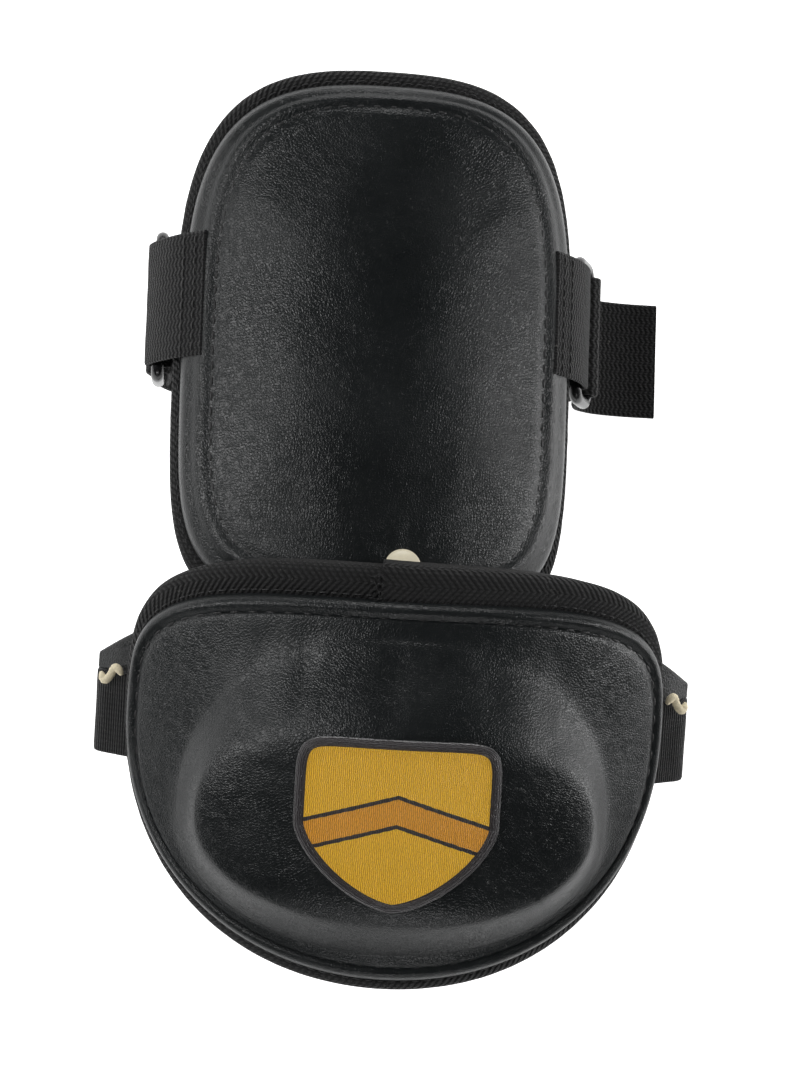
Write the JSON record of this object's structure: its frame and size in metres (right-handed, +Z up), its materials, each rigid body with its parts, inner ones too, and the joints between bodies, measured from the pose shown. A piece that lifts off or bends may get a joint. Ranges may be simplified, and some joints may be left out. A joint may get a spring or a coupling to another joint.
{
  "type": "two-piece arm and elbow guard",
  "caption": "Arched padded arm guard with a domed elbow cup riveted to its end, edge-bound, on a webbing strap and an elastic strap.",
  "frame": {"origin": "middle of the footprint, on the surface that the two strap loops stand on", "axes": "+X across the guard to the strap's free end, +Y along the arm pad away from the elbow cup, +Z up, out of the guard's front"},
  "size_m": [0.1826, 0.2732, 0.1341],
  "materials": {
    "leather": "fine-grained coated leather, satin",
    "tape": "woven webbing and edge tape, matte",
    "lining": "brushed knit lining, matte",
    "foam": "closed-cell foam, matte",
    "shell": "moulded plastic plate",
    "ring": "moulded plastic, glossy",
    "hook": "hook and loop fastener",
    "cream": "cream rivet",
    "cord": "cream lashing cord",
    "thread": "raised satin and fill embroidery"
  },
  "bodies": {
    "arm_guard": {"arm_liner": "lining", "arm_backing": "foam", "arm_front_foam": "foam", "arm_plate": "shell", "arm_cover": "leather", "arm_edge_tape": "tape", "rivet": "cream", "rivet_back": "ring", "left_tab": "tape", "right_tab": "tape", "arm_strap": "tape", "loop_patch": "hook", "hook_patch": "hook"},
    "left_ring_body": {"left_ring": "ring"},
    "right_ring_body": {"right_ring": "ring"},
    "tail": {"strap_tail": "tape"},
    "link": {"link_tab": "leather"},
    "elbow_cup": {"cup_liner": "lining", "cup_backing": "foam", "cup_dome_foam": "foam", "cup_shell": "shell", "cup_cover": "leather", "cup_edge_tape": "tape", "emblem": "thread", "elbow_strap": "tape", "left_gusset": "leather", "right_gusset": "leather", "left_tack": "cord", "right_tack": "cord"}
  },
  "joints": [
    {"name": "cup_swivel", "type": "hinge", "parent": "arm_guard", "child": "link", "pos_m": [-0.00429, -0.01455, 0.1], "axis": [0, 0, 1], "range_deg": [-2.5, 8]},
    {"name": "cup_fold", "type": "hinge", "parent": "link", "child": "elbow_cup", "pos_m": [-0.00429, -0.03565, 0.0933], "axis": [1, 0, 0], "range_deg": [0, 40], "deforming": ["link_tab"]},
    {"name": "left_ring_swing", "type": "hinge", "parent": "arm_guard", "child": "left_ring_body", "pos_m": [-0.07649, 0.06695, 0.0666], "axis": [0, 1, 0], "range_deg": [-10, 12], "deforming": ["arm_strap"]},
    {"name": "right_ring_swing", "type": "hinge", "parent": "arm_guard", "child": "right_ring_body", "pos_m": [0.05391, 0.06695, 0.0666], "axis": [0, -1, 0], "range_deg": [-10, 12]},
    {"name": "tail_lift", "type": "hinge", "parent": "arm_guard", "child": "tail", "pos_m": [0.06126, 0.06695, 0.02827], "axis": [0, -1, 0], "range_deg": [-5, 45], "stiffness_Nm_per_rad": 0.03}
  ]
}
